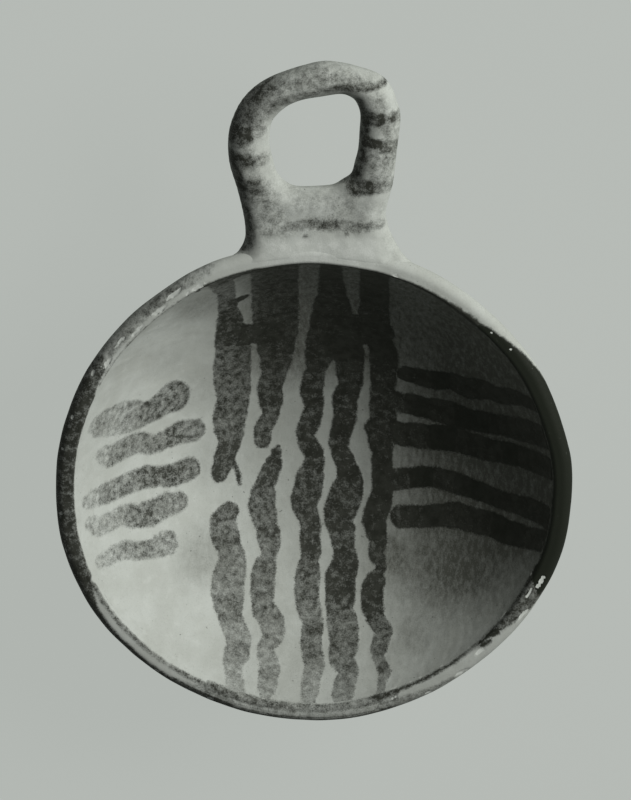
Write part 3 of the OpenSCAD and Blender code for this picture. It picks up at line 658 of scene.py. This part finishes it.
SPOKES, ACROSS = 704, 44
outer_line = closed_curve(OUTLINE, SPOKES)
inner_line = hole_edge(outer_line[:, 2])
share = (1 - np.cos(np.pi * np.arange(ACROSS + 1) / ACROSS)) / 2
plan = inner_line[None] + (outer_line[None, :, :2] - inner_line[None]) * share[:, None, None]
# The lines to the root's two tips bow inward, so that they stay inside its hollow sides
bow = (smooth(15, 28, np.abs(outer_line[:, 0])) * smooth(86, 70, outer_line[:, 1]))[:, None]
bow = bow * np.stack([-4.6 * np.sign(outer_line[:, 0]), -1.5 * smooth(64, 69, outer_line[:, 1])], -1)
bend = share ** 1.6 * (1 - share)
plan += (bend / bend.max())[:, None, None] * bow[None]
flat_plan = plan.reshape(-1, 2)
# Each line carries an exact zero at its own edge
from_hole = nearest(flat_plan, hole_line).reshape(plan.shape[:2])
from_out = nearest(flat_plan, closed_curve(OUTLINE, 1500)[:, :2]).reshape(plan.shape[:2])
from_hole[0], from_out[-1] = 0, 0

x, y = plan[..., 0], plan[..., 1]
reach = np.hypot(x, y)
buried = (1 - smooth(70.5, 75.5, reach)) * smooth(27, 17, np.abs(x))
web = smooth(15, 6, np.hypot(x / 1.1, (y - 87) / 1.2))
half = COIL_HALF - (COIL_HALF - WEB_HALF) * web
edge_z = HANDLE_Z + (BURIED_Z - HANDLE_Z) * buried
lip_cover = 1.2 * smooth(83, 73, reach) * smooth(70.6, 72.6, reach)
top_z = HANDLE_Z + half + lip_cover * 0.55
out_t = (reach - BURIED_R) / ROOT_REACH
bottom_z = HANDLE_Z - half - ROOT_DROP * np.clip(1 - out_t, 0, 1) ** 2.6 * smooth(20, 12, np.abs(x))
# At both sides of the root the clay thins out into the lip
wing = smooth(19, 23.5, np.abs(x)) * smooth(80, 75.5, reach)
edge_z += 2.8 * wing * (1 - buried)
top_z += (np.minimum(top_z, 50.6 - 0.45 * np.maximum(reach - 73, 0)) - top_z) * wing
thin = smooth(14, 20, np.abs(x)) * smooth(87, 78, reach)
bottom_z += (edge_z - 1.4 - bottom_z) * thin
top_round = EDGE_ROUND + (BURIED_ROUND - EDGE_ROUND) * buried
top_round += (2.2 - top_round) * wing
round_top = quarter(from_hole / EDGE_ROUND) * quarter(from_out / top_round)
round_low = quarter(from_hole / EDGE_ROUND) * quarter(from_out / (EDGE_ROUND + (1.2 - EDGE_ROUND) * np.maximum(buried, thin)))
upper = np.stack([x, y, edge_z + (top_z - edge_z) * round_top], -1)
under_side = np.stack([x, y, edge_z + (bottom_z - edge_z) * round_low], -1)
skin = np.concatenate([upper, under_side[-2:0:-1]])

# Hand-made unevenness: the coil is pinched and pressed here and there
centre = np.concatenate([plan, plan[-2:0:-1]])
dents = 0.28 * rolling(skin, 17, 31) + 0.1 * rolling(skin, 6, 32) + 0.03 * rolling(skin, 2.4, 33)
free = smooth(72, 80, np.hypot(centre[..., 0], centre[..., 1]))
lift = np.sign(skin[..., 2] - HANDLE_Z) * smooth(0, 3, np.abs(skin[..., 2] - HANDLE_Z))
skin[..., 2] += dents * lift * free
out_sway, level_sway = rim_sway(np.arctan2(skin[..., 1], skin[..., 0]))
skin[..., 2] += level_sway * (1 - free)

# Paint and painted shade: worn brush marks on the top of the handle, and dark marks that stand for shade down its left
# edge and round the right and lower right edge of the finger hole. How much each covers, how far its edge fades in mm,
# and its joints (x, y, half width) in mm
HANDLE_MARKS_AND_SHADE = [
    (0.70, 2.2, [(-22.8, 113, 3.2), (-20.6, 118, 3.8), (-17.5, 122.5, 3.8), (-13.5, 126, 2.8)]),
    (0.24, 1.8, [(-15, 125, 4), (-6.9, 127.4, 4), (1.3, 128.2, 3.8), (9.2, 127.4, 3), (15, 126, 2)]),
    (0.26, 0.8, [(-17, 121.5, 1.2), (-8.5, 125.6, 1.4), (-1, 127.4, 1.2), (7, 128.2, 1), (13.5, 127.4, 0.8)]),
    (0.38, 0.9, [(-12, 119.5, 1.6), (-7.6, 121.4, 1.4), (0, 123.6, 1.2), (6.3, 125, 1.1)]),
    (0.80, 0.7, [(5, 124.9, 0.9), (9, 125.4, 1.3), (15.1, 125.4, 1.2), (20.9, 125.8, 0.7)]),
    (0.40, 1.4, [(-17, 114.5, 2.2), (-13.5, 118.6, 2.4), (-9, 121, 2)]),
    (0.88, 0.9, [(-25, 110.3, 2.8), (-20.5, 110, 2.9)]), (0.42, 1.0, [(-20, 110.5, 2.4), (-15.5, 112, 2)]),
    (0.74, 0.8, [(-24, 102.8, 2.1), (-19.5, 102.6, 2.2)]), (0.40, 1.0, [(-19, 102.4, 2.2), (-15, 102.8, 1.8)]),
    (0.66, 1.0, [(-21.8, 95, 2.4), (-17.6, 94.2, 2.4)]),
    (0.24, 2.6, [(-22, 106, 4), (-19.5, 96, 4), (-16, 92, 3.6)]),
    # Partly painted shade: the dark line down the left edge to the root, on the side away from the lamp
    (0.66, 1.0, [(-24.4, 105, 1.1), (-22, 97, 1.3), (-20.2, 89, 1.7), (-19, 81, 1.9), (-19.2, 76.5, 2), (-20.6, 73.9, 1.4)]),
    (0.32, 2.6, [(-15, 92.5, 3), (-13, 86, 4.2), (-11.6, 80, 4.2), (-11, 77, 3.2)]),
    # Painted shade: the right edge of the finger hole and its lower right corner
    (0.74, 0.9, [(13.4, 121, 1.0), (15, 114, 1.5), (14.8, 106, 1.5), (13.6, 100, 1.4), (12.2, 96.8, 1.2)]),
    (0.90, 0.7, [(4.2, 94.4, 0.9), (8.6, 95.8, 1.4), (12, 98.4, 1.3)]),
    (0.82, 0.7, [(15.8, 115.6, 2.3), (18.6, 115.5, 2.3)]), (0.34, 1.0, [(19, 115.4, 1.8), (23, 115.6, 1.6)]),
    (0.50, 0.8, [(23, 115.8, 1.7), (26, 114.8, 1.9)]),
    (0.92, 0.6, [(15.8, 108, 1.6), (18.4, 107.8, 1.6)]), (0.56, 0.7, [(19.2, 107.2, 2.1), (24, 106, 2.1)]),
    (0.30, 1.6, [(16, 103, 3), (19.5, 101, 4), (19.5, 97.5, 3.4)]), (0.3, 2.0, [(18, 121, 2.5), (22, 112, 2.5), (22, 103, 2.5)]),
    (0.80, 0.8, [(11.8, 93.6, 2.4), (15.8, 94, 2.5)]), (0.48, 0.8, [(17.5, 94.2, 2), (23, 94, 1.9)]),
    (0.42, 0.9, [(-8, 81.2, 1.0), (-2, 82.4, 1.7), (5, 82.3, 2), (12, 81.6, 1.6), (19.4, 82, 1.3)]),
    (0.52, 0.8, [(-0.4, 82.3, 1.4), (6, 82, 1.5)]), (0.28, 0.8, [(10, 81.6, 1.1), (17.5, 82, 1)]),
    (0.14, 2.6, [(-4, 88.5, 3), (8, 88, 3.5), (14, 87, 2.5)]), (0.7, 0.3, [(5.1, 73.9, 0.6), (5.5, 74, 0.6)]),
    (0.7, 0.3, [(-2.6, 78.7, 0.6), (-2.1, 78.9, 0.5)]), (0.7, 0.3, [(9.5, 79.3, 0.5), (9.9, 79.4, 0.5)])]
flat_skin = skin.reshape(-1, 3) * np.array([1, 1, 0])
shown = 0.93 - 0.05 * rolling(skin.reshape(-1, 3), 7, 34).clip(-1.4, 1.4)
for covering, fade, joints in HANDLE_MARKS_AND_SHADE:
    inside = np.full(len(flat_skin), -99.0)
    for (x0, y0, r0), (x1, y1, r1) in zip(joints[:-1], joints[1:]):
        start, step = np.array([x0, y0, 0.0]), np.array([x1 - x0, y1 - y0, 0.0])
        t = np.clip((flat_skin - start) @ step / (step @ step), 0, 1)
        inside = np.maximum(inside, r0 + (r1 - r0) * t - np.linalg.norm(flat_skin - start - t[:, None] * step, axis=1))
    shown *= 1 - covering * smooth(-fade, fade, inside)
h_cover_and_shade = (1 - shown) * smooth(38, 43, skin[..., 2].ravel()) * smooth(72, 76, np.hypot(flat_skin[:, 0], flat_skin[:, 1]))
h_worn = 0.35 + 0 * h_cover_and_shade
h_bare = rubbed(flat_skin[:, 0], flat_skin[:, 1]) * smooth(40, 43, skin[..., 2].ravel())

loop_handle = mesh_object(
    "loop_handle", skin.reshape(-1, 3),
    [np.concatenate([ring_faces(len(skin), SPOKES),
                     np.stack([(len(skin) - 1) * SPOKES + np.arange(SPOKES),
                               (len(skin) - 1) * SPOKES + (np.arange(SPOKES) + 1) % SPOKES,
                               (np.arange(SPOKES) + 1) % SPOKES, np.arange(SPOKES)], -1)])[:, ::-1]],
    {"paint": 9 + 0 * h_cover_and_shade, "cover": h_cover_and_shade, "soft": h_worn, "stain_and_shade": 0 * h_cover_and_shade, "bare": h_bare})
loop_handle.data.materials.append(ware)
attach(loop_handle, "root")
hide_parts("handle_root", "handle_web", "handle_loop", "arch_stroke", "stem_stroke",
            "left_leg_bands", "right_leg_bands")


# ---- Floor, light and background ----------------------------------------------------
# A plain pale table. What the camera sees of it is mostly its own colour, so that the
# shadow stays faint, as it is in the picture.
BACKDROP = (0.462, 0.491, 0.462, 1)


def seen(n):
    """1 for rays that show the background: from the camera, and in gloss and glass."""
    path = n.tree.nodes.new("ShaderNodeLightPath")
    either = n.math("MAXIMUM", path.outputs["Is Camera Ray"], path.outputs["Is Glossy Ray"])
    return n.math("MAXIMUM", either, path.outputs["Is Transmission Ray"])


floor_mesh = bpy.data.meshes.new("table")
floor_mesh.from_pydata([(-20, -20, -0.0001), (20, -20, -0.0001), (20, 20, -0.0001), (-20, 20, -0.0001)], [], [(0, 1, 2, 3)])
table = bpy.data.objects.new("table", floor_mesh)
bpy.context.scene.collection.objects.link(table)
cloth = bpy.data.materials.new("pale_table")
cloth.use_nodes = True
cloth.node_tree.nodes.clear()
n = Nodes(cloth.node_tree)
FLOOR_SHADE = 0.05
shown = n.add("ShaderNodeAddShader", {
    0: n.add("ShaderNodeEmission", {"Color": BACKDROP, "Strength": 0.935}),
    1: n.add("ShaderNodeBsdfDiffuse", {"Color": (FLOOR_SHADE, FLOOR_SHADE, FLOOR_SHADE, 1)})})
other = n.add("ShaderNodeBsdfDiffuse", {"Color": (0.5, 0.52, 0.5, 1)})
mixed = n.add("ShaderNodeMixShader", {0: seen(n), 1: other, 2: shown})
out = cloth.node_tree.nodes.new("ShaderNodeOutputMaterial")
cloth.node_tree.links.new(mixed, out.inputs["Surface"])
floor_mesh.materials.append(cloth)

world = bpy.data.worlds.new("studio")
bpy.context.scene.world = world
world.use_nodes = True
world.node_tree.nodes.clear()
n = Nodes(world.node_tree)
fill = n.add("ShaderNodeBackground", {"Color": (0.97, 1, 0.98, 1), "Strength": 0.07})
backdrop = n.add("ShaderNodeBackground", {"Color": BACKDROP, "Strength": 1.0})
sky = n.add("ShaderNodeMixShader", {0: seen(n), 1: fill, 2: backdrop})
out = world.node_tree.nodes.new("ShaderNodeOutputWorld")
world.node_tree.links.new(sky, out.inputs["Surface"])

# One large soft lamp from the upper right, low enough for the rim to shade half the bowl
LAMP_TURN, LAMP_RISE = np.radians(35), np.radians(33)
LAMP_WAY = np.array([np.cos(LAMP_TURN) * np.cos(LAMP_RISE), np.sin(LAMP_TURN) * np.cos(LAMP_RISE), np.sin(LAMP_RISE)])
LAMP_FAR, LAMP_SIZE, LAMP_POWER = 1.8, 1.0, 40.0
lamp = bpy.data.lights.new("key_lamp", "AREA")
lamp.shape = "SQUARE"
lamp.size = LAMP_SIZE
lamp.energy = LAMP_POWER
lamp.color = (1, 1, 0.97)
key = bpy.data.objects.new("key_lamp", lamp)
key.location = Vector(np.array([0, 0.01, 0.04]) + LAMP_FAR * LAMP_WAY)
key.rotation_euler = Vector(LAMP_WAY).to_track_quat("Z", "Y").to_euler()
bpy.context.scene.collection.objects.link(key)

bpy.context.view_layer.update()
